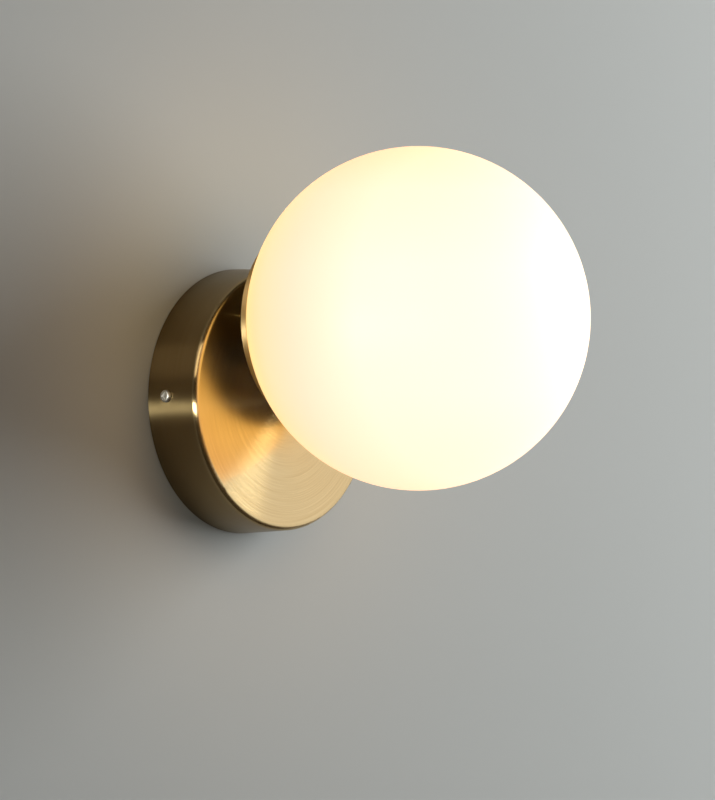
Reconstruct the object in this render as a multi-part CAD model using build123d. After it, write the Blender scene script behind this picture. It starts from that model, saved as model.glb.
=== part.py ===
from build123d import *
import os
from math import atan2, cos, pi, radians, sin, sqrt, tan

# A globe wall light: a round canopy on a bracket, and a shallow cup that holds an opal globe.
# Sizes are in millimetres. Each piece is drawn with X to the right, Y up the wall and Z away from
# the wall, from the canopy's centre, and all are stood up against the wall when they are written.

# Canopy, a spun pan whose open side meets the wall
canopy_radius = 60.0
canopy_depth = 27.7
canopy_taper = 1.25     # how much smaller its radius is at the front
canopy_wall = 1.2
canopy_corner = 2.5
lamp_rise = 33.1        # the globe's axis above the canopy's centre

# Wall bracket, a bent strap
strap_thickness = 1.5
strap_width = 22.0
strap_bend = 1.5        # inner radius of each bend
ear_width = 13.0
ear_reach = 18.0        # from the wall to the ear's end
ear_gap = 2.2           # between an ear and the canopy's wall
slot_spacing = 76.0
slot_width = 4.5
slot_length = 12.0
cable_hole_radius = 6.0

# Screws
side_screw_radius = 1.45
side_screw_length = 9.0
side_screw_head = 2.75
side_screw_depth = 10.9         # from the wall to the screw's axis
head_share = 0.62               # a head's height as a share of its radius
thread_gap = 0.05               # between a thread and its tapped hole
screw_hole_gap = 0.3            # between a screw and a plain hole
earth_screw_radius = 1.95
earth_screw_head = 3.8
earth_screw_place = -19.0       # along the strap

# Threaded tube through the lamp, and its nuts and washers
nipple_radius = 5.0
nipple_bore = 3.5
nipple_gap = 0.1                # to each hole it passes through
nipple_stub = 1.6               # past each nut
nut_flats = 14.0
nut_height = 3.0
washer_radius = 8.0
washer_thickness = 0.8

# Spacer and cup
spacer_radius = 12.0
spacer_length = 13.5
cup_radius = 44.8
cup_wall = 1.0
cup_rim = 3.2                   # from the cup's back to its lip
cup_corner = 0.8

# Globe and the threaded ring bonded in its mouth
globe_radius = 75.0
globe_wall = 2.8
rim_gap = 0.45                  # between the lip and the glass
seal_thickness = 0.8
ring_flange = 1.0               # its thickness
ring_flange_width = 4.3
ring_wall = 2.5
ring_length = 9.0               # the threaded stretch
bond_gap = 0.3                  # adhesive between the ring and the glass
mouth_width = 3.6               # the ground collar round the glass's mouth
mouth_length = 4.0

# Gallery, the threaded boss that the ring screws on to
gallery_gap = 0.3               # between the two threads
gallery_wall = 2.0
gallery_floor = 2.0

# Lampholder
holder_width = 22.0
holder_height = 15.0
holder_length = 18.0
holder_corner = 2.0
holder_strap = 1.2              # thickness of the holder's bracket
holder_strap_width = 13.0
holder_rise = 12.3              # from the nut's seat to the ceramic
holder_screw_radius = 1.45
holder_screw_length = 3.6
pin_spacing = 9.0
pin_length = 12.5
pin_radius = 0.45
pin_loop = 1.15                 # from a loop's middle to each leg
socket_width = 4.8
socket_height = 2.2
socket_depth = 13.0
leaf_thickness = 0.4            # the spring contacts
contact_gap = 0.1               # between a pin and its contact

# Bulb
bulb_gap = 0.3                  # between the bulb and its holder
bulb_radius = 8.0
bulb_base_length = 12.0
bulb_cover_wall = 0.9
bulb_cover_length = 35.0
board_width = 9.0
board_thickness = 1.0
led_width = 2.8
led_length = 3.5
led_height = 0.7
led_rows = 5

# Terminal block and wires
block_width = 18.0
block_height = 17.0
block_depth = 13.5
block_place = 18.0              # its middle, along the strap
pole_spacing = 9.0
sleeve_radius = 2.5
sleeve_bore = 1.3
sleeve_length = 15.0
block_gap = 0.1                 # between the sleeves and the block
terminal_screw_radius = 1.2
terminal_screw_spacing = 9.0
wire_radius = 1.0
wire_spread = 1.6               # from the nipple's axis to each wire
wire_gap = 0.05                 # between a wire and the crimp or sleeve it ends in
tag_thickness = 0.8
tag_length = 12.0               # from a tag's eye to its end
wire_entry = 3.5                # how far a wire goes into a crimp
wire_run = 8.0                  # how far it leaves one before it bends
wire_bow = 12.0                 # the earth wire's bow to the left of its upper tag

# Worked out from the sizes above, as heights above the wall unless they say otherwise
canopy_inside = canopy_depth - canopy_wall
cup_back = canopy_depth + spacer_length
cup_floor = cup_back + cup_wall
cup_lip = cup_back + cup_rim
cup_inside = cup_radius - cup_wall      # a radius
glass_at_lip = cup_inside - rim_gap     # the globe's radius at the lip
globe_centre = cup_lip + sqrt(globe_radius**2 - glass_at_lip**2)
flange_seat = cup_floor + seal_thickness
globe_mouth = flange_seat + ring_flange
flange_radius = glass_at_lip - 2 * ring_flange
ring_radius = flange_radius - ring_flange_width
gallery_radius = ring_radius - ring_wall - gallery_gap
gallery_seat = cup_floor + gallery_floor
holder_nut_seat = gallery_seat + holder_strap
nut_stack = washer_thickness + nut_height
nipple_front = holder_nut_seat + nut_stack + nipple_stub
nipple_back = canopy_inside - tag_thickness - nut_stack - nipple_stub
holder_back = holder_nut_seat + holder_rise
holder_front = holder_back + holder_length
holder_screw_height = holder_back + holder_length * 0.45
socket_floor = holder_front - socket_depth
bulb_seat = holder_front + bulb_gap
bulb_neck = bulb_seat + bulb_base_length
ear_face = canopy_radius - canopy_wall - ear_gap        # a distance from the centre
canopy_slope = canopy_taper / canopy_depth
screw_seat = canopy_radius - canopy_slope * (side_screw_depth - side_screw_head)    # a radius
block_seat = strap_thickness
sleeve_height = block_seat + block_depth / 2
tag_barrel = wire_radius + wire_gap + tag_thickness / 2  # a radius

low = (Align.CENTER, Align.CENTER, Align.MIN)


def rod(radius, length):
    return Cylinder(radius, length, align=low)


def tube(radius, bore, length):
    return rod(radius, length) - rod(bore, length)


def block(width, height, length):
    return Box(width, height, length, align=low)


def on_axis(height):
    # a place on the globe's axis
    return Pos(0, lamp_rise, height)


def top_edges(solid):
    return solid.edges().sort_by(Axis.Z)[-1]


def screw(radius, length, head):
    # a pan-head screw with a cross recess, its head above Z 0 and its shank below
    head_height = head * head_share
    dome = fillet(top_edges(rod(head, head_height)), head_height * 0.6)
    for turn in (0, 90):
        dome -= Pos(0, 0, head_height * 0.55) * Rot(Z=turn) * block(head * 1.2, head * 0.3, head)
    return dome + Pos(0, 0, -length) * rod(radius, length)


def hex_nut():
    nut = extrude(RegularPolygon(nut_flats / 2, 6, major_radius=False), nut_height)
    chamfer_cone = Cone(nut_flats / 2 + nut_height, nut_flats / 2 - 0.2, nut_height + 0.2, align=low)
    return (nut & chamfer_cone) - rod(nipple_radius + nipple_gap, nut_height)


def lock_washer():
    # external teeth, one in the middle of each share of the circle
    teeth = 10
    washer = rod(washer_radius - 1.2, washer_thickness)
    for tooth in range(teeth):
        place = Rot(Z=360 / teeth * tooth) * Pos(washer_radius - 1.5, 0, 0)
        washer += place * block(3.0, 2.2, washer_thickness)
    washer &= rod(washer_radius, washer_thickness)
    return washer - rod(nipple_radius + nipple_gap, washer_thickness)


def bent_strap(reach_out, reach_up, thickness, bend, width):
    # a flat strap on Z 0 whose two ends turn up, with its outer faces at reach_out from the middle
    side = reach_out - thickness / 2
    base = thickness / 2
    line = FilletPolyline(
        (-side, reach_up), (-side, base), (side, base), (side, reach_up), radius=bend + thickness / 2
    )
    return extrude(Plane.XZ * trace(line, thickness), width / 2, both=True)


def pan_form(inset):
    # the canopy's outer form, or its inner one where the inset is the wall
    height = canopy_depth - inset
    wide = canopy_radius - inset
    form = Cone(wide, wide - canopy_slope * height, height, align=low)
    return fillet(top_edges(form), max(canopy_corner - inset, canopy_wall / 4))


def canopy():
    pan = pan_form(0) - pan_form(canopy_wall)
    pan -= Pos(0, lamp_rise, canopy_inside) * rod(nipple_radius + nipple_gap, canopy_wall)
    for side in (-1, 1):
        hole = Cylinder(side_screw_radius + screw_hole_gap, 4 * canopy_wall)
        pan -= Pos(side * canopy_radius, 0, side_screw_depth) * Rot(Y=90) * hole
    return pan


def canopy_screws():
    one = screw(side_screw_radius, side_screw_length, side_screw_head)
    # the head bears on the crest of the round, tapered wall
    right = Pos(screw_seat, 0, side_screw_depth) * Rot(Y=90) * one
    return [right, mirror(right, Plane.YZ)]


def wall_bracket():
    strap = bent_strap(ear_face, ear_reach, strap_thickness, strap_bend, strap_width)
    bend_top = strap_thickness + strap_bend
    trim = block(2 * canopy_radius, strap_width, ear_reach) - block(2 * canopy_radius, ear_width, ear_reach)
    strap -= Pos(0, 0, bend_top) * trim
    strap -= rod(cable_hole_radius, strap_thickness)
    for side in (-1, 1):
        slot = extrude(SlotOverall(slot_length, slot_width), strap_thickness)
        strap -= Pos(side * slot_spacing / 2, 0, 0) * slot
        tapped = Cylinder(side_screw_radius + thread_gap, 4 * strap_thickness)
        strap -= Pos(side * ear_face, 0, side_screw_depth) * Rot(Y=90) * tapped
    strap -= Pos(earth_screw_place, 0, 0) * rod(earth_screw_radius + thread_gap, strap_thickness)
    strap -= Pos(block_place, 0, 0) * rod(side_screw_radius + thread_gap, strap_thickness)
    return strap


def earth_tag(hole_radius, eye_radius):
    # a flat eye round a stud, with a crimp barrel for the wire at its far end along +X
    eye = rod(eye_radius, tag_thickness)
    barrel_start = tag_length - 4 * wire_radius
    barrel_length = tag_length - barrel_start
    tongue = Pos(barrel_start / 2, 0, 0) * block(barrel_start, 3.0, tag_thickness)
    barrel = Pos(barrel_start, 0, tag_barrel) * Rot(Y=90) * rod(tag_barrel, barrel_length)
    wire_end = Pos(barrel_start, 0, tag_barrel) * Rot(Y=90) * rod(wire_radius + wire_gap, barrel_length)
    return eye + tongue + barrel - wire_end - rod(hole_radius, tag_thickness)


def canopy_earth_tag():
    # under the nut behind the canopy's face, pointing left
    tag = earth_tag(nipple_radius + nipple_gap, washer_radius)
    return Pos(0, lamp_rise, canopy_inside) * Rot(Y=180) * tag


def bracket_earth_tag():
    # on the strap, pointing up
    tag = earth_tag(earth_screw_radius + screw_hole_gap, earth_screw_head)
    return Pos(earth_screw_place, 0, strap_thickness) * Rot(Z=90) * tag


def earth_screw():
    shank = strap_thickness + tag_thickness
    seat = Pos(earth_screw_place, 0, strap_thickness + tag_thickness)
    return seat * screw(earth_screw_radius, shank, earth_screw_head)


def poles():
    return [block_place + side * pole_spacing / 2 for side in (-1, 1)]


def terminal_block():
    body = extrude(RectangleRounded(block_width, block_height, 1.5), block_depth)
    body = fillet(body.edges().group_by(Axis.Z)[-1], 0.8)
    middle = block_depth / 2
    body -= rod(side_screw_radius + screw_hole_gap, block_depth)
    body -= Pos(0, 0, middle + 2) * rod(side_screw_head + screw_hole_gap / 2, block_depth)
    for side in (-1, 1):
        pole = Pos(side * pole_spacing / 2, 0, 0)
        body -= pole * Pos(0, 0, middle) * Rot(X=90) * Cylinder(sleeve_radius + block_gap, block_height)
        for end in (-1, 1):
            well = rod(terminal_screw_radius + screw_hole_gap, block_depth)
            body -= pole * Pos(0, end * terminal_screw_spacing / 2, middle) * well
    return Pos(block_place, 0, block_seat) * body


def block_screw():
    seat = Pos(block_place, 0, sleeve_height + 2)
    return seat * screw(side_screw_radius, sleeve_height + 2, side_screw_head)


def terminal_sleeves():
    sleeves = []
    for pole in poles():
        sleeve = Rot(X=90) * Cylinder(sleeve_radius, sleeve_length)
        sleeve -= Rot(X=90) * Cylinder(sleeve_bore, sleeve_length)
        for end in (-1, 1):
            tapped = rod(terminal_screw_radius + thread_gap, sleeve_radius + 1)
            sleeve -= Pos(0, end * terminal_screw_spacing / 2, 0) * tapped
        sleeves.append(Pos(pole, 0, sleeve_height) * sleeve)
    return sleeves


def terminal_screws():
    # headless screws that bear on the wire
    bottom = wire_radius + wire_gap
    length = block_depth / 2 - bottom - 1.0
    grub = rod(terminal_screw_radius, length)
    grub -= Pos(0, 0, length - 0.8) * block(2.4 * terminal_screw_radius, 0.5, 0.8)
    screws = []
    for pole in poles():
        for end in (-1, 1):
            screws.append(Pos(pole, end * terminal_screw_spacing / 2, sleeve_height + bottom) * grub)
    return screws


def wire(points):
    # straight runs joined by arcs as large as the shorter run beside each corner allows
    radii = []
    for before, at, after in zip(points, points[1:], points[2:]):
        arrive = Vector(at) - Vector(before)
        leave = Vector(after) - Vector(at)
        half_turn = radians(arrive.get_angle(leave)) / 2
        radii.append(0.45 * min(arrive.length, leave.length) / tan(half_turn))
    print("wire arcs", [round(radius, 1) for radius in radii])
    line = FilletPolyline(*points, radius=radii)
    return sweep(Plane(origin=line @ 0, z_dir=line % 0) * Circle(wire_radius), path=line)


def lamp_wire(side):
    # from a contact in the lampholder, through the nipple and down to the terminal block
    contact = side * pin_spacing / 2
    inside = side * wire_spread
    pole = block_place + side * pole_spacing / 2
    return wire([
        (contact, lamp_rise, socket_floor - 1.5),
        (contact, lamp_rise, holder_back - 1.5),
        (inside, lamp_rise, nipple_front + 0.2),
        (inside, lamp_rise, sleeve_height + 1.3),
        (pole, block_height / 2 + wire_run, sleeve_height),
        (pole, 1.5, sleeve_height),
    ])


def earth_wire():
    canopy_end = -tag_length
    bracket_end = tag_length
    canopy_level = canopy_inside - tag_barrel
    bracket_level = strap_thickness + tag_barrel
    return wire([
        (canopy_end + wire_entry, lamp_rise, canopy_level),
        (canopy_end - wire_bow, lamp_rise, canopy_level),
        (canopy_end - wire_bow * 1.12, lamp_rise - wire_bow * 0.75, canopy_level - wire_bow),
        (earth_screw_place, bracket_end + wire_run, bracket_level),
        (earth_screw_place, bracket_end - wire_entry, bracket_level),
    ])


def nipple():
    return Pos(0, lamp_rise, nipple_back) * tube(nipple_radius, nipple_bore, nipple_front - nipple_back)


def canopy_washer():
    return on_axis(canopy_inside - tag_thickness - washer_thickness) * lock_washer()


def canopy_nut():
    return on_axis(canopy_inside - tag_thickness - washer_thickness) * Rot(X=180) * hex_nut()


def cup_washer():
    return on_axis(holder_nut_seat) * lock_washer()


def cup_nut():
    return on_axis(holder_nut_seat + washer_thickness) * hex_nut()


def spacer():
    collar = rod(spacer_radius, spacer_length)
    collar = chamfer(collar.edges().filter_by(GeomType.CIRCLE), 0.4)
    return on_axis(canopy_depth) * (collar - rod(nipple_radius + nipple_gap, spacer_length))


def cup():
    dish = rod(cup_radius, cup_rim)
    dish = fillet(dish.edges().sort_by(Axis.Z)[0], cup_corner)
    dish -= Pos(0, 0, cup_wall) * rod(cup_inside, cup_rim)
    lip = dish.edges().group_by(Axis.Z)[-1]
    dish = fillet(lip, cup_wall * 0.4)
    return on_axis(cup_back) * (dish - rod(nipple_radius + nipple_gap, cup_rim))


def gallery():
    length = gallery_floor + ring_length - seal_thickness
    boss = chamfer(top_edges(rod(gallery_radius, length)), gallery_wall * 0.4)
    boss -= Pos(0, 0, gallery_floor) * rod(gallery_radius - gallery_wall, length)
    return on_axis(cup_floor) * (boss - rod(nipple_radius + nipple_gap, gallery_floor))


def seal_ring():
    return on_axis(cup_floor) * tube(flange_radius, ring_radius - ring_wall, seal_thickness)


def globe_ring():
    ring = rod(flange_radius, ring_flange) + rod(ring_radius, ring_flange + ring_length)
    return on_axis(flange_seat) * (ring - rod(ring_radius - ring_wall, ring_flange + ring_length))


def sphere_arc(radius, start_height):
    # from a height on the sphere round to its front pole, in the plane of radius and height
    start = atan2(start_height - globe_centre, sqrt(radius**2 - (globe_centre - start_height) ** 2))
    middle = (start + pi / 2) / 2
    places = [
        (radius * cos(angle), globe_centre + radius * sin(angle)) for angle in (start, middle, pi / 2)
    ]
    return ThreePointArc(*places)


def globe():
    mouth_radius = ring_radius + bond_gap
    collar_radius = mouth_radius + mouth_width
    collar_top = globe_mouth + mouth_length
    inner_radius = globe_radius - globe_wall
    inner_start = globe_centre - sqrt(inner_radius**2 - collar_radius**2)
    inner_start = max(inner_start, collar_top)
    outer = sphere_arc(globe_radius, globe_mouth)
    inner = sphere_arc(inner_radius, inner_start)
    outline = [
        outer,
        Line(outer @ 1, inner @ 1),
        inner,
        Polyline(inner @ 0, (mouth_radius, inner_start), (mouth_radius, globe_mouth), outer @ 0),
    ]
    glass = revolve(Plane.XZ * make_face(Curve() + outline), Axis.Z)
    return Pos(0, lamp_rise, 0) * glass


def holder_bracket():
    reach_up = holder_back - gallery_seat + holder_length * 0.7
    reach_out = holder_width / 2 + screw_hole_gap + holder_strap
    strap = bent_strap(reach_out, reach_up, holder_strap, holder_strap, holder_strap_width)
    strap -= rod(nipple_radius + nipple_gap, holder_strap)
    hole = Cylinder(holder_screw_radius + screw_hole_gap, 4 * holder_strap)
    for side in (-1, 1):
        strap -= Pos(side * reach_out, 0, holder_screw_height - gallery_seat) * Rot(Y=90) * hole
    return on_axis(gallery_seat) * strap


def holder_screws():
    seat = holder_width / 2 + screw_hole_gap + holder_strap
    one = screw(holder_screw_radius, holder_screw_length, side_screw_head)
    right = Pos(seat, lamp_rise, holder_screw_height) * Rot(Y=90) * one
    return [right, mirror(right, Plane.YZ)]


def holder_body():
    ceramic = extrude(RectangleRounded(holder_width, holder_height, holder_corner), holder_length)
    ceramic = fillet(ceramic.edges().group_by(Axis.Z)[-1], 0.8)
    # a shallow channel between the two sockets keeps them apart
    ceramic -= Pos(0, 0, holder_length - 1.0) * block(1.6, holder_height, 1.0)
    for side in (-1, 1):
        pin = Pos(side * pin_spacing / 2, 0, 0)
        socket = extrude(RectangleRounded(socket_width, socket_height, 0.5), socket_depth)
        ceramic -= pin * Pos(0, 0, holder_length - socket_depth) * socket
        ceramic -= pin * rod(wire_radius + 0.5, holder_length - socket_depth)
        tapped = Cylinder(holder_screw_radius + thread_gap, 2 * holder_screw_length)
        place = Pos(side * holder_width / 2, 0, holder_screw_height - holder_back)
        ceramic -= place * Rot(Y=90) * tapped
    return on_axis(holder_back) * ceramic


def holder_contacts():
    # a folded spring leaf on each side of the pin, on a barrel that takes the wire
    leaf_middle = pin_radius + contact_gap + leaf_thickness / 2
    leaf_top = socket_depth - 2.0
    base = leaf_thickness / 2
    fold = FilletPolyline(
        (-leaf_middle, leaf_top), (-leaf_middle, base), (leaf_middle, base), (leaf_middle, leaf_top),
        radius=leaf_thickness,
    )
    leaf = extrude(Plane.YZ * trace(fold, leaf_thickness), socket_width * 0.35, both=True)
    barrel_length = holder_length - socket_depth
    barrel = Pos(0, 0, -barrel_length) * tube(wire_radius + 0.4, wire_radius + wire_gap, barrel_length)
    contact = leaf + barrel
    return [on_axis(socket_floor) * Pos(side * pin_spacing / 2, 0, 0) * contact for side in (-1, 1)]


def bulb_pins():
    pins = []
    for side in (-1, 1):
        tip = -pin_length + pin_radius
        bottom = tip + pin_loop
        line = Curve() + [
            Line((-pin_loop, 0), (-pin_loop, bottom)),
            ThreePointArc((-pin_loop, bottom), (0, tip), (pin_loop, bottom)),
            Line((pin_loop, bottom), (pin_loop, 0)),
        ]
        path = Plane.XZ * line
        loop = sweep(Pos(-pin_loop, 0, 0) * Circle(pin_radius), path=path.wires()[0])
        pins.append(on_axis(bulb_seat) * Pos(side * pin_spacing / 2, 0, 0) * loop)
    return pins


def bulb_base():
    base = rod(bulb_radius, bulb_base_length)
    base = fillet(base.edges().sort_by(Axis.Z)[0], 1.2)
    shoulder = bulb_radius - bulb_cover_wall - 0.1
    base += Pos(0, 0, bulb_base_length) * rod(shoulder, 1.5)
    slit = block(board_width + 0.2, board_thickness + 0.2, 4)
    base -= Pos(0, 0, bulb_base_length - 2.0) * slit
    return on_axis(bulb_seat) * base


def bulb_board():
    # a board on edge with light chips on both faces
    length = bulb_cover_length - bulb_radius
    board = block(board_width, board_thickness, length + 2.0)
    pitch = (length - 3.0) / led_rows
    for row in range(led_rows):
        level = 4.5 + row * pitch
        for column in (-1, 1):
            for face in (-1, 1):
                chip = block(led_width, led_height, led_length)
                offset = face * (board_thickness + led_height) / 2
                board += Pos(column * board_width / 4, offset, level) * chip
    return on_axis(bulb_neck - 2.0) * board


def domed_rod(radius, top):
    shoulder = top - radius
    round_end = ThreePointArc(
        (radius, shoulder), (radius * cos(pi / 4), shoulder + radius * sin(pi / 4)), (0, top)
    )
    sides = Polyline((0, top), (0, 0), (radius, 0), (radius, shoulder))
    return revolve(Plane.XZ * make_face(Curve() + [sides, round_end]), Axis.Z)


def bulb_cover():
    inside = domed_rod(bulb_radius - bulb_cover_wall, bulb_cover_length - bulb_cover_wall)
    return on_axis(bulb_neck) * (domed_rod(bulb_radius, bulb_cover_length) - inside)


pieces = [
    canopy, canopy_screws, wall_bracket, earth_screw, bracket_earth_tag, canopy_earth_tag, earth_wire,
    terminal_block, block_screw, terminal_sleeves, terminal_screws, nipple, canopy_washer, canopy_nut,
    spacer, cup, gallery, cup_washer, cup_nut, holder_bracket, holder_body, holder_screws,
    holder_contacts, seal_ring, globe_ring, globe, bulb_pins, bulb_base, bulb_board, bulb_cover,
]
solids = {piece.__name__: piece() for piece in pieces}
solids["live_wire"] = lamp_wire(-1)
solids["neutral_wire"] = lamp_wire(1)

os.makedirs("parts", exist_ok=True)
for name, made in solids.items():
    group = made if isinstance(made, list) else [made]
    stood = [Rot(X=90) * piece for piece in group]
    export_step(Compound(children=stood) if len(stood) > 1 else stood[0], f"parts/{name}.step")
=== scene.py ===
import math

import bmesh
import bpy
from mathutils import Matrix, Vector


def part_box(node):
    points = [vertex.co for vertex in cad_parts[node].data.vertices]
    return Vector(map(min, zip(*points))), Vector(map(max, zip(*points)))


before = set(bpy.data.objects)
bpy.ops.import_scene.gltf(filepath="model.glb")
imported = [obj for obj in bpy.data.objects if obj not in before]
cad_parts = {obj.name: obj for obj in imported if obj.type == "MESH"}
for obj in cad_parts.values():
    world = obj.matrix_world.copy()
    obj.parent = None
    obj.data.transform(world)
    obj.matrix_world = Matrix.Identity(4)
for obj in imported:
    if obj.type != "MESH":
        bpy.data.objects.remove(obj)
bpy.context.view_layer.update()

mm = 0.001
print("frame loaded:", len(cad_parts), "nodes")

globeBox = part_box("globe")
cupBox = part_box("cup")
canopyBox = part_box("canopy")
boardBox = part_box("bulb_board")


def middle(box):
    return (Vector(box[0]) + Vector(box[1])) / 2


# the canopy's axis, and above it the axis of the cup, the globe and all that they hold; both run along Y
canopyAxis = middle(canopyBox)
lampAxis = middle(globeBox)
globeRadius = (globeBox[1][0] - globeBox[0][0]) / 2
globeCentre = Vector((lampAxis.x, globeBox[0][1] + globeRadius, lampAxis.z))


def linear(hexColour):
    # sRGB hex to the linear colour that a shader takes
    shares = [int(hexColour[i:i + 2], 16) / 255 for i in (1, 3, 5)]
    return [s / 12.92 if s <= 0.04045 else ((s + 0.055) / 1.055) ** 2.4 for s in shares] + [1.0]


def addNode(tree, kind, sockets=None, stops=None, **settings):
    # one node with its settings; a socket takes a value or another node's output
    node = tree.nodes.new(kind)
    for name, value in settings.items():
        setattr(node, name, value)
    for name, value in (sockets or {}).items():
        if isinstance(value, bpy.types.NodeSocket):
            tree.links.new(value, node.inputs[name])
        else:
            node.inputs[name].default_value = value
    if stops:
        elements = node.color_ramp.elements
        for share, hexColour in stops[2:]:
            elements.new(share)
        for element, (share, hexColour) in zip(elements, stops):
            element.position = share
            element.color = linear(hexColour)
    return node


def newMaterial(name):
    material = bpy.data.materials.new(name)
    material.use_nodes = True
    material.node_tree.nodes.clear()
    return material, material.node_tree


def surface(tree, sockets):
    shader = addNode(tree, "ShaderNodeBsdfPrincipled", sockets)
    addNode(tree, "ShaderNodeOutputMaterial", {"Surface": shader.outputs[0]})


def give(material, *nodes):
    for node in nodes:
        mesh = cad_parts[node].data
        mesh.materials.clear()
        mesh.materials.append(material)


def aroundAxis(tree, axis):
    # where a point is on turned or spun work: radius, depth along Y, and the direction out from the axis
    place = addNode(tree, "ShaderNodeTexCoord").outputs["Object"]
    apart = addNode(tree, "ShaderNodeVectorMath", {0: place, 1: (axis.x, 0, axis.z)}, operation="SUBTRACT")
    split = addNode(tree, "ShaderNodeSeparateXYZ", {0: apart.outputs[0]})
    flat = addNode(tree, "ShaderNodeCombineXYZ", {"X": split.outputs["X"], "Z": split.outputs["Z"]})
    radius = addNode(tree, "ShaderNodeVectorMath", {0: flat.outputs[0]}, operation="LENGTH")
    outward = addNode(tree, "ShaderNodeVectorMath", {0: flat.outputs[0]}, operation="NORMALIZE")
    return radius.outputs["Value"], split.outputs["Y"], outward.outputs[0]


noiseSpread = (0.35, 0.65)      # most of a noise texture lies between these
brass = {
    "dark": "#d1b482",
    "light": "#dec595",
    "grain": 0.30,          # mm, one brush line; real ones are under 0.1 and would not show
    "lineSpread": (0.3, 0.7),   # the noise where a line is darkest, and where it is lightest and roughest
    "streaks": 1.1,         # how often a line fades on its way round
    "lineRoughness": 0.06,  # share by which the lines change the roughness
    "cloud": 25.0,          # mm, faint patches where the lacquer was handled
    "cloudRoughness": 0.06,
    "anisotropy": 1.0,
    "relief": 0.08,
    "lineDepth": 0.02,      # mm
}

# each piece is bright at its front, and darker from a depth on: there a painted shade is laid over it, for
# the dim side and back, in a fade of so many mm, over which the canopy gets a little rougher too
canopyFace = canopyBox[0][1]
cupBack = cupBox[1][1]
# the tones below are painted shade, laid over each piece's side or back
brassPieces = {
    "canopy": {
        "axis": canopyAxis, "shadedFrom": canopyFace + 0.4 * mm, "fade": 2.0, "shadeTone": "#a8a6a2",
        "roughness": 0.20, "sideRoughness": 0.24,
    },
    "cup": {
        "axis": lampAxis, "shadedFrom": cupBack - 0.5 * mm, "fade": 0.3, "shadeTone": "#868480",
        "roughness": 0.52, "sideRoughness": 0.52,
    },
    "spacer": {
        "axis": lampAxis, "shadedFrom": canopyFace, "fade": 0.3, "shadeTone": "#a8a6a2",
        "roughness": 0.24, "sideRoughness": 0.24,
    },
}


def brushedBrass(name, look):
    # brass, spun, brushed round its axis and lacquered: fine rings that smear each light into a radial fan
    material, tree = newMaterial(name)
    radius, depth, outward = aroundAxis(tree, look["axis"])
    along = addNode(tree, "ShaderNodeMath", {0: radius, 1: depth}, operation="SUBTRACT").outputs[0]
    line = addNode(tree, "ShaderNodeMath", {0: along, 1: brass["grain"] * mm}, operation="DIVIDE").outputs[0]
    turn = addNode(tree, "ShaderNodeVectorMath", {0: outward, "Scale": brass["streaks"]}, operation="SCALE")
    around = addNode(tree, "ShaderNodeSeparateXYZ", {0: turn.outputs[0]})
    place = addNode(tree, "ShaderNodeCombineXYZ", {
        "X": line, "Y": around.outputs["X"], "Z": around.outputs["Z"],
    })
    lines = addNode(tree, "ShaderNodeTexNoise", {"Vector": place.outputs[0], "Scale": 1.0, "Detail": 3.0})
    darkest, lightest = brass["lineSpread"]
    colour = addNode(tree, "ShaderNodeValToRGB", {"Fac": lines.outputs["Fac"]},
                     stops=[(darkest, brass["dark"]), (lightest, brass["light"])])
    # painted shade: from a depth on, the brass colour is multiplied by a darker tone
    shadedShare = addNode(tree, "ShaderNodeMapRange", {
        "Value": depth, "From Min": look["shadedFrom"], "From Max": look["shadedFrom"] + look["fade"] * mm,
    })
    shadeTone = addNode(tree, "ShaderNodeValToRGB", {"Fac": shadedShare.outputs[0]},
                   stops=[(0.0, "#ffffff"), (1.0, look["shadeTone"])])
    colour = addNode(tree, "ShaderNodeVectorMath", {0: colour.outputs["Color"], 1: shadeTone.outputs["Color"]},
                     operation="MULTIPLY")
    body = addNode(tree, "ShaderNodeTexCoord").outputs["Object"]
    cloud = addNode(tree, "ShaderNodeTexNoise", {"Vector": body, "Scale": 1 / (brass["cloud"] * mm)})
    handled = addNode(tree, "ShaderNodeMapRange", {
        "Value": cloud.outputs["Fac"], "From Min": noiseSpread[0], "From Max": noiseSpread[1],
        "To Min": 1 - brass["cloudRoughness"], "To Max": 1 + brass["cloudRoughness"],
    })
    uneven = addNode(tree, "ShaderNodeMapRange", {
        "Value": lines.outputs["Fac"], "From Min": darkest, "From Max": lightest,
        "To Min": 1 - brass["lineRoughness"], "To Max": 1 + brass["lineRoughness"],
    })
    varied = addNode(tree, "ShaderNodeMath", {0: handled.outputs[0], 1: uneven.outputs[0]},
                     operation="MULTIPLY")
    finish = addNode(tree, "ShaderNodeMapRange", {
        "Value": shadedShare.outputs[0], "To Min": look["roughness"], "To Max": look["sideRoughness"],
    })
    rough = addNode(tree, "ShaderNodeMath", {0: varied.outputs[0], 1: finish.outputs[0]},
                    operation="MULTIPLY")
    bump = addNode(tree, "ShaderNodeBump", {
        "Height": lines.outputs["Fac"], "Strength": brass["relief"], "Distance": brass["lineDepth"] * mm,
    })
    tangent = addNode(tree, "ShaderNodeTangent", direction_type="RADIAL", axis="Y")
    surface(tree, {
        "Base Color": colour.outputs[0], "Metallic": 1.0, "Roughness": rough.outputs[0],
        "Normal": bump.outputs[0], "Tangent": tangent.outputs[0],
        "Anisotropic": brass["anisotropy"],
        "Anisotropic Rotation": 0.25,   # a quarter turn, so that light smears across the lines
    })
    return material


for node, look in brassPieces.items():
    give(brushedBrass("brushedBrass" + node.capitalize(), look), node)
print("brass given")

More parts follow.
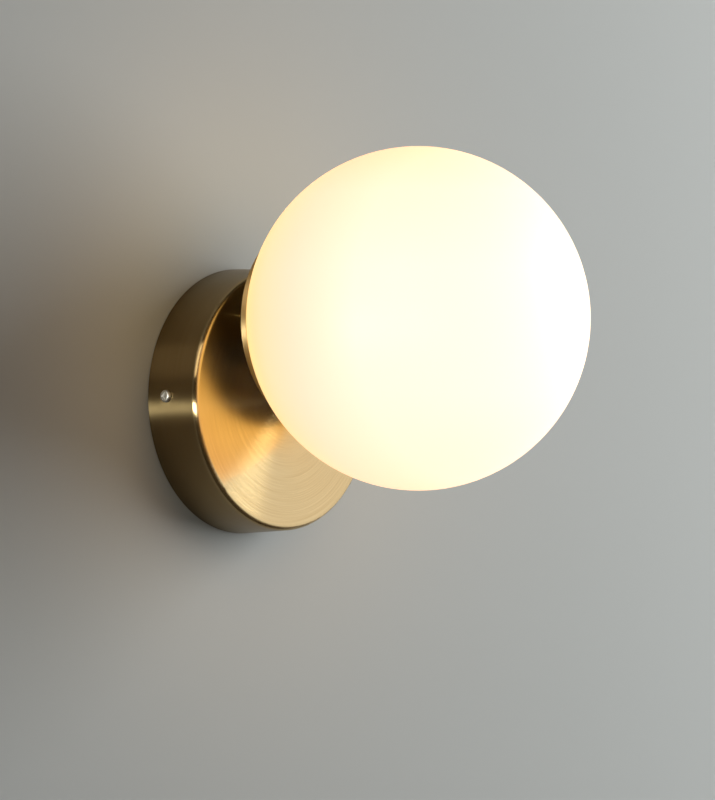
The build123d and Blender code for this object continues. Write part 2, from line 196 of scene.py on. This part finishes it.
opal = {
    "glow": 1.4,            # strength of the lit glass
    "roughness": 0.48,
    "paint": "#8f8b80",     # the glass where its own light is left out
    "farTone": "#fff5d7",   # laid over the glow at the top, and less so at the bottom
    "midTone": "#fffdf4",   # laid over it at this share of the way there
    "midShare": 0.6,
    "farFrom": 0.35,        # share of the radius where that starts
    "sag": 9.3,             # mm, from the globe's middle down to the middle of its glow
    "cloud": 85.0,          # mm, where the glass is a little thicker or thinner
    "drift": 0.02,          # how far that moves the glow
    "etch": 0.6,            # mm, the acid-etched grain; the real one is finer and would not show
    "etchRelief": 0.05,
    "etchDepth": 0.02,      # mm
    "stops": [              # the glow from the cup round to the front
        (0.06, "#ebc26a"), (0.18, "#f2c884"), (0.25, "#f0c28e"), (0.30, "#f2c598"), (0.44, "#f3c9aa"),
        (0.56, "#fbd3b6"), (0.66, "#ffdac1"), (1.0, "#ffe7cb"),
    ],
}


def opalGlass():
    # cased opal glass, mouth-blown and acid-etched: an even milky glow with a silky surface, warmer behind
    material, tree = newMaterial("etchedOpalGlass")
    place = addNode(tree, "ShaderNodeTexCoord").outputs["Object"]
    split = addNode(tree, "ShaderNodeSeparateXYZ", {0: place})
    share = addNode(tree, "ShaderNodeMapRange", {
        "Value": split.outputs["Y"], "From Min": globeCentre.y + globeRadius,
        "From Max": globeCentre.y - globeRadius,
    })
    cloud = addNode(tree, "ShaderNodeTexNoise", {"Vector": place, "Scale": 1 / (opal["cloud"] * mm)})
    drift = addNode(tree, "ShaderNodeMapRange", {
        "Value": cloud.outputs["Fac"], "To Min": -opal["drift"], "To Max": opal["drift"],
    })
    along = addNode(tree, "ShaderNodeMath", {0: share.outputs[0], 1: drift.outputs[0]})
    glow = addNode(tree, "ShaderNodeValToRGB", {"Fac": along.outputs[0]}, stops=opal["stops"])
    # the top and bottom are furthest from the bulb, so they glow less and warmer
    glowMiddle = globeCentre.z - opal["sag"] * mm
    height = addNode(tree, "ShaderNodeMath", {0: split.outputs["Z"], 1: glowMiddle}, operation="SUBTRACT")
    offAxis = addNode(tree, "ShaderNodeMath", {0: height.outputs[0]}, operation="ABSOLUTE")
    far = addNode(tree, "ShaderNodeMapRange", {
        "Value": offAxis.outputs[0], "From Min": globeRadius * opal["farFrom"],
        "From Max": globeRadius + opal["sag"] * mm,
    })
    shadeTone = addNode(tree, "ShaderNodeValToRGB", {"Fac": far.outputs[0]},
                   stops=[(0.0, "#ffffff"), (opal["midShare"], opal["midTone"]), (1.0, opal["farTone"])])
    lit = addNode(tree, "ShaderNodeVectorMath", {0: glow.outputs["Color"], 1: shadeTone.outputs["Color"]},
                  operation="MULTIPLY")
    etch = addNode(tree, "ShaderNodeTexNoise", {"Vector": place, "Scale": 1 / (opal["etch"] * mm)})
    bump = addNode(tree, "ShaderNodeBump", {
        "Height": etch.outputs["Fac"], "Strength": opal["etchRelief"], "Distance": opal["etchDepth"] * mm,
    })
    surface(tree, {
        "Base Color": linear(opal["paint"]), "Roughness": opal["roughness"], "IOR": 1.5,
        "Emission Color": lit.outputs[0], "Emission Strength": opal["glow"], "Normal": bump.outputs[0],
    })
    return material


give(opalGlass(), "globe")
print("glass given")


made = {
    "grainShare": 0.45,     # of the grain, against the patches
    "tones": (0.38, 0.62),  # the mix of both that is darkest and lightest
    "gloss": 0.15,          # share by which a light spot is smoother
    "grainDepth": 0.05,     # mm
    "threadRelief": 0.8,
    "threadDepth": 0.12,    # of its pitch
    "threadFacing": 0.3,    # how far a threaded face may lean towards its axis
}


def madeMaterial(name, look):
    # soft patches and a fine grain from the way a surface was made, and a thread or a stripe where it has one
    material, tree = newMaterial(name)
    coordinates = addNode(tree, "ShaderNodeTexCoord")
    place = coordinates.outputs["Object"]
    drawn = addNode(tree, "ShaderNodeMapping", {"Vector": place, "Scale": look.get("stretch", (1, 1, 1))})
    patches = addNode(tree, "ShaderNodeTexNoise", {"Vector": place, "Scale": 1 / (look["patch"] * mm)})
    grain = addNode(tree, "ShaderNodeTexNoise", {
        "Vector": drawn.outputs[0], "Scale": 1 / (look["grain"] * mm), "Detail": 3.0,
    }).outputs["Fac"]
    both = addNode(tree, "ShaderNodeMix", {
        "Factor": made["grainShare"], "A": patches.outputs["Fac"], "B": grain,
    })
    darkest, lightest = made["tones"]
    colour = addNode(tree, "ShaderNodeValToRGB", {"Fac": both.outputs[0]},
                     stops=[(darkest, look["dark"]), (lightest, look["light"])]).outputs["Color"]
    rough = addNode(tree, "ShaderNodeMapRange", {
        "Value": both.outputs[0], "From Min": noiseSpread[0], "From Max": noiseSpread[1],
        "To Min": look["roughness"] * (1 + made["gloss"]), "To Max": look["roughness"] * (1 - made["gloss"]),
    })
    if "accent" in look:
        # a second colour on one side of the piece, or where it stands off a plane
        if "accentToward" in look:
            lean = addNode(tree, "ShaderNodeVectorMath", {0: coordinates.outputs["Normal"],
                                                          1: look["accentToward"]}, operation="DOT_PRODUCT")
            measure = lean.outputs["Value"]
        else:
            offset = addNode(tree, "ShaderNodeMath", {
                0: addNode(tree, "ShaderNodeSeparateXYZ", {0: place}).outputs["Z"], 1: look["accentPlane"],
            }, operation="SUBTRACT")
            measure = addNode(tree, "ShaderNodeMath", {0: offset.outputs[0]}, operation="ABSOLUTE").outputs[0]
        edge = addNode(tree, "ShaderNodeMath", {0: measure, 1: look["accentBeyond"]},
                       operation="GREATER_THAN")
        colour = addNode(tree, "ShaderNodeMix", {
            "Factor": edge.outputs[0], 6: colour, 7: linear(look["accent"]),
        }, data_type="RGBA").outputs[2]
    bump = addNode(tree, "ShaderNodeBump", {
        "Height": grain, "Strength": look["relief"], "Distance": made["grainDepth"] * mm,
    })
    if "pitch" in look:
        # a screw thread: one wave per pitch, moved on by a pitch each turn, and none on the flat ends
        radius, depth, outward = aroundAxis(tree, look["axis"])
        turn = addNode(tree, "ShaderNodeSeparateXYZ", {0: outward})
        angle = addNode(tree, "ShaderNodeMath", {0: turn.outputs["X"], 1: turn.outputs["Z"]},
                        operation="ARCTAN2")
        wave = addNode(tree, "ShaderNodeMath", {
            0: depth, 1: 2 * math.pi / (look["pitch"] * mm), 2: angle.outputs[0],
        }, operation="MULTIPLY_ADD")
        ridge = addNode(tree, "ShaderNodeMath", {0: wave.outputs[0]}, operation="SINE")
        facing = addNode(tree, "ShaderNodeSeparateXYZ", {0: coordinates.outputs["Normal"]})
        flat = addNode(tree, "ShaderNodeMath", {0: facing.outputs["Y"]}, operation="ABSOLUTE")
        turned = addNode(tree, "ShaderNodeMath", {0: flat.outputs[0], 1: made["threadFacing"]},
                         operation="LESS_THAN")
        height = addNode(tree, "ShaderNodeMath", {0: ridge.outputs[0], 1: turned.outputs[0]},
                         operation="MULTIPLY")
        bump = addNode(tree, "ShaderNodeBump", {
            "Height": height.outputs[0], "Strength": made["threadRelief"],
            "Distance": look["pitch"] * made["threadDepth"] * mm, "Normal": bump.outputs[0],
        })
    sockets = {"Base Color": colour, "Roughness": rough.outputs[0], "Normal": bump.outputs[0],
               "Metallic": look.get("metallic", 0.0)}
    sockets.update(look.get("sockets", {}))
    surface(tree, sockets)
    return material


# steel strip, pressed and zinc plated: blue-grey with soft yellowish bloom and faint rolling lines
zincStrip = {
    "dark": "#989d9c", "light": "#bdc0b8", "patch": 7.0, "grain": 0.35, "stretch": (0.06, 1, 1),
    "metallic": 1.0, "roughness": 0.38, "relief": 0.12,
}
give(madeMaterial("zincPlatedStrip", zincStrip), "wall_bracket", "holder_bracket")

# small steel fasteners, barrel plated with zinc: brighter, and scuffed all over by each other
zincFasteners = {
    "dark": "#a2a7a9", "light": "#c9ccca", "patch": 1.5, "grain": 0.25,
    "metallic": 1.0, "roughness": 0.34, "relief": 0.10,
}
give(madeMaterial("barrelPlatedZinc", zincFasteners), "canopy_nut", "canopy_washer", "cup_nut", "cup_washer",
     "holder_screws", "block_screw", "terminal_screws", "earth_screw")

# the hollow M10 by 1 tube: rolled thread from end to end, zinc plated
nippleThread = dict(zincFasteners, pitch=1.0, axis=lampAxis)
give(madeMaterial("threadedZincTube", nippleThread), "nipple")

# nickel-plated screws: whiter and softer than zinc
nickelScrews = {
    "dark": "#d6d5d2", "light": "#eeedea", "patch": 1.2, "grain": 0.3,
    "metallic": 1.0, "roughness": 0.40, "relief": 0.10,
}
give(madeMaterial("satinNickelPlate", nickelScrews), "canopy_screws")

# aluminium, cast and turned: pale grey, with the 4 mm thread that the globe is held by
turnedAluminium = {
    "dark": "#aeb1b3", "light": "#d0d2d2", "patch": 4.0, "grain": 0.4, "stretch": (0.25, 1, 0.25),
    "metallic": 1.0, "roughness": 0.33, "relief": 0.12, "pitch": 4.0, "axis": lampAxis,
}
give(madeMaterial("turnedAluminium", turnedAluminium), "gallery", "globe_ring")

# steatite, pressed and fired without glaze: chalky white with a sandy grain
steatite = {
    "dark": "#d6d1c5", "light": "#efece3", "patch": 2.5, "grain": 0.4, "roughness": 0.6, "relief": 0.25,
    "sockets": {"IOR": 1.58},
}
give(madeMaterial("unglazedSteatite", steatite), "holder_body")

# silicone rubber, moulded: milky, with a soft waxy shine
silicone = {
    "dark": "#cbcac3", "light": "#dfddd6", "patch": 5.0, "grain": 0.6, "roughness": 0.5, "relief": 0.08,
    "sockets": {"IOR": 1.41},
}
give(madeMaterial("mouldedSilicone", silicone), "seal_ring")

# polyamide, moulded against a spark-eroded tool: cream, with an even fine stipple
polyamide = {
    "dark": "#d9d6ca", "light": "#e8e5da", "patch": 6.0, "grain": 0.35, "roughness": 0.55, "relief": 0.35,
    "sockets": {"IOR": 1.53},
}
give(madeMaterial("sparkTexturedPolyamide", polyamide), "terminal_block")

# polycarbonate, moulded and polished: white with a soft gloss
bulbBase = {
    "dark": "#e2e0da", "light": "#f0efeb", "patch": 6.0, "grain": 0.5, "roughness": 0.3, "relief": 0.06,
    "sockets": {"IOR": 1.58},
}
give(madeMaterial("mouldedPolycarbonate", bulbBase), "bulb_base")

# the bulb's cover, polycarbonate frosted inside: lit from within, warm and even
bulbCover = {
    "dark": "#e9e5da", "light": "#f6f3ea", "patch": 4.0, "grain": 0.5, "roughness": 0.45, "relief": 0.10,
    "sockets": {"IOR": 1.58, "Emission Color": linear("#ffe3b4"), "Emission Strength": 1.6},
}
give(madeMaterial("frostedPolycarbonate", bulbCover), "bulb_cover")

# the light source inside: white solder mask, with yellow phosphor chips that stand off its two faces
ledBoard = {
    "dark": "#ebe8dc", "light": "#f5f3ea", "patch": 3.0, "grain": 0.4, "roughness": 0.4, "relief": 0.05,
    "accent": "#e8c23c", "accentPlane": middle(boardBox).z, "accentBeyond": 0.55 * mm,
}
give(madeMaterial("solderMaskAndPhosphor", ledBoard), "bulb_board")

# copper, tinned by dipping: dull silver with a hint of the copper
tinned = {
    "dark": "#a8a39a", "light": "#c9c6bd", "patch": 1.0, "grain": 0.25,
    "metallic": 1.0, "roughness": 0.36, "relief": 0.15,
}
give(madeMaterial("dippedTinOnCopper", tinned), "bulb_pins", "bracket_earth_tag", "canopy_earth_tag")

# phosphor bronze strip, rolled and bent: reddish, with lines along the leaf
bronze = {
    "dark": "#9f6f46", "light": "#c48f60", "patch": 1.5, "grain": 0.2, "stretch": (1, 0.1, 1),
    "metallic": 1.0, "roughness": 0.34, "relief": 0.12,
}
give(madeMaterial("rolledPhosphorBronze", bronze), "holder_contacts")

# free-cutting brass, turned from bar: yellow, with tool marks across the sleeve
barBrass = {
    "dark": "#b8964f", "light": "#d6b673", "patch": 1.5, "grain": 0.2, "stretch": (0.2, 0.2, 1),
    "metallic": 1.0, "roughness": 0.3, "relief": 0.12,
}
give(madeMaterial("turnedBarBrass", barBrass), "terminal_sleeves")

# silicone-covered wire, extruded: matt, with a fine powdery grain
wires = {
    "live_wire": ("brownSiliconeSleeve", {"dark": "#41240f", "light": "#5a3420"}),
    "neutral_wire": ("blueSiliconeSleeve", {"dark": "#1d4189", "light": "#2c58a8"}),
    "earth_wire": ("greenAndYellowSleeve", {
        "dark": "#3f7a24", "light": "#539433",
        "accent": "#dccb2e", "accentToward": (0.55, -0.6, 0.58), "accentBeyond": 0.45,
    }),
}
for node, (name, colours) in wires.items():
    give(madeMaterial(name, dict(colours, patch=3.0, grain=0.3, roughness=0.5, relief=0.08)), node)
print("inner materials given")

wall = {
    "size": 8.0,            # metres across
    "hole": 59.4,           # mm radius, the wall box behind the canopy
    "behind": 0.2,          # mm, so that it never shares a plane with the canopy's rim
    "paint": "#c4c6c1",
    "gloss": 0.08,          # dead matt, or a flat wall would shine from the side
    "roughness": 1.0,
    "stipple": 3.0,         # mm, left by a roller
    "stippleRelief": 0.06,
    "stippleDepth": 0.1,    # mm
    "sides": 96,            # of the hole
}


def wallPaint():
    # matt emulsion, rolled on plaster: flat pale grey with a faint stipple
    material, tree = newMaterial("rolledEmulsion")
    place = addNode(tree, "ShaderNodeTexCoord").outputs["Object"]
    stipple = addNode(tree, "ShaderNodeTexNoise", {
        "Vector": place, "Scale": 1 / (wall["stipple"] * mm), "Detail": 3.0,
    })
    bump = addNode(tree, "ShaderNodeBump", {
        "Height": stipple.outputs["Fac"], "Strength": wall["stippleRelief"],
        "Distance": wall["stippleDepth"] * mm,
    })
    paint = addNode(tree, "ShaderNodeBsdfPrincipled", {
        "Base Color": linear(wall["paint"]), "Roughness": wall["roughness"], "Normal": bump.outputs[0],
        "Specular IOR Level": wall["gloss"],
    })
    # from behind, the wall lets the eye through to the bracket
    clear = addNode(tree, "ShaderNodeBsdfTransparent")
    behind = addNode(tree, "ShaderNodeNewGeometry").outputs["Backfacing"]
    seen = addNode(tree, "ShaderNodeMixShader", {0: behind, 1: paint.outputs[0], 2: clear.outputs[0]})
    addNode(tree, "ShaderNodeOutputMaterial", {"Surface": seen.outputs[0]})
    return material


def standingWall():
    # a square sheet with a round hole, in one ring of faces
    sides = wall["sides"]
    bm = bmesh.new()
    inner, outer = [], []
    y = wall["behind"] * mm
    for i in range(sides):
        angle = 2 * math.pi * i / sides
        across, up = math.cos(angle), math.sin(angle)
        reach = wall["size"] / 2 / max(abs(across), abs(up))
        inner.append(bm.verts.new((across * wall["hole"] * mm, y, up * wall["hole"] * mm)))
        outer.append(bm.verts.new((across * reach, y, up * reach)))
    for i in range(sides):
        j = (i + 1) % sides
        bm.faces.new((inner[i], inner[j], outer[j], outer[i]))
    mesh = bpy.data.meshes.new("wall")
    bm.to_mesh(mesh)
    bm.free()
    if mesh.polygons[0].normal.y > 0:
        mesh.flip_normals()
    mesh.materials.append(wallPaint())
    sheet = bpy.data.objects.new("wall", mesh)
    bpy.context.collection.objects.link(sheet)


standingWall()
print("wall standing")

lights = {
    # metres and watts; a soft lamp on the right lights whatever is matt, and metal shows the panels after it
    # instead; the last lamp stands behind the wall, for whoever looks at the back
    "key": {"place": (1.36, -0.96, 0.31), "size": (1.3, 1.3), "power": 28.3, "colour": "#f8fbff",
            "matt": True, "shiny": False},
    "window": {"place": (1.90, -1.35, 0.31), "size": (3.0, 3.0), "power": 28.0, "colour": "#fcfdff",
               "matt": False, "shiny": True},
    "pane": {"place": (1.71, -0.66, 0.53), "size": (0.32, 0.32), "power": 7.2, "colour": "#fbfbe6",
             "matt": False, "shiny": True},
    "upperLeft": {"place": (-1.44, -0.67, 0.85), "size": (1.2, 0.75), "power": 6.0, "colour": "#fff2dc",
                  "matt": False, "shiny": True},
    "leftEnd": {"place": (-1.30, -0.08, -0.15), "size": (0.10, 0.16), "power": 3.5, "colour": "#f8fff0",
                "matt": False, "shiny": True},
    "leftLamp": {"place": (-1.15, -0.62, -0.15), "size": (1.4, 0.16), "power": 5.6, "colour": "#fffaf0",
                 "matt": False, "shiny": True},
    "behindWall": {"place": (0.7, 1.6, 0.6), "size": (2.2, 2.2), "power": 45.0, "colour": "#fcfdff",
                   "matt": True, "shiny": True},
}
aim = Vector((0, -0.06, 0))   # metres, just in front of the canopy's middle


def areaLight(name, values):
    data = bpy.data.lights.new(name, "AREA")
    data.shape = "RECTANGLE"
    data.size, data.size_y = values["size"]
    data.energy = values["power"]
    data.color = linear(values["colour"])[:3]
    lamp = bpy.data.objects.new(name, data)
    lamp.location = values["place"]
    lamp.rotation_euler = (aim - lamp.location).to_track_quat("-Z", "Y").to_euler()
    lamp.visible_diffuse = values["matt"]
    lamp.visible_glossy = values["shiny"]
    bpy.context.collection.objects.link(lamp)


for name, values in lights.items():
    areaLight(name, values)

world = {
    "ambient": 0.12,
    "ambientTone": "#ffffff",
    "darkRoom": 0.045,      # what shiny surfaces see between the lights
    "darkTone": "#ffe2b8",
    "backdrop": "#c9c9c2",  # what the eye sees past the wall
}


def roomLight():
    room = bpy.data.worlds.new("room")
    bpy.context.scene.world = room
    room.use_nodes = True
    tree = room.node_tree
    tree.nodes.clear()
    path = addNode(tree, "ShaderNodeLightPath")
    ambient = addNode(tree, "ShaderNodeBackground", {
        "Color": linear(world["ambientTone"]), "Strength": world["ambient"],
    })
    darkRoom = addNode(tree, "ShaderNodeBackground", {
        "Color": linear(world["darkTone"]), "Strength": world["darkRoom"],
    })
    backdrop = addNode(tree, "ShaderNodeBackground", {"Color": linear(world["backdrop"])})
    cast = addNode(tree, "ShaderNodeMixShader", {
        0: path.outputs["Is Glossy Ray"], 1: ambient.outputs[0], 2: darkRoom.outputs[0],
    })
    seen = addNode(tree, "ShaderNodeMixShader", {
        0: path.outputs["Is Camera Ray"], 1: cast.outputs[0], 2: backdrop.outputs[0],
    })
    addNode(tree, "ShaderNodeOutputWorld", {"Surface": seen.outputs[0]})


roomLight()
print("lights placed:", len(lights))

camera = {
    "azimuth": -48.87,      # degrees; 0 looks along +Y
    "elevation": -2.49,
    "distance": 1683.4,     # mm from the canopy's middle, along the view
    "aside": (-53.05, -0.58),   # mm, the canopy's middle from the middle of the picture
    "focal": 3706.0,        # in the photo's pixels
    "photoHeight": 800.0,
    "sensor": 36.0,         # mm
    "clip": (0.05, 50.0),   # metres
}


def placeCamera():
    azimuth = math.radians(camera["azimuth"])
    elevation = math.radians(camera["elevation"])
    right = Vector((math.cos(azimuth), math.sin(azimuth), 0))
    back = Vector((math.sin(azimuth) * math.cos(elevation), -math.cos(azimuth) * math.cos(elevation),
                   math.sin(elevation)))
    up = back.cross(right)
    acrossMm, upMm = camera["aside"]
    data = bpy.data.cameras.new("photoCamera")
    data.sensor_width = camera["sensor"]
    data.lens = camera["focal"] * data.sensor_width / camera["photoHeight"]
    data.clip_start, data.clip_end = camera["clip"]
    eye = bpy.data.objects.new("photoCamera", data)
    eye.location = (back * camera["distance"] - right * acrossMm - up * upMm) * mm
    eye.rotation_euler = back.to_track_quat("Z", "Y").to_euler()
    bpy.context.collection.objects.link(eye)
    bpy.context.scene.camera = eye


placeCamera()
bpy.context.scene.view_settings.view_transform = "Standard"
print("camera placed")
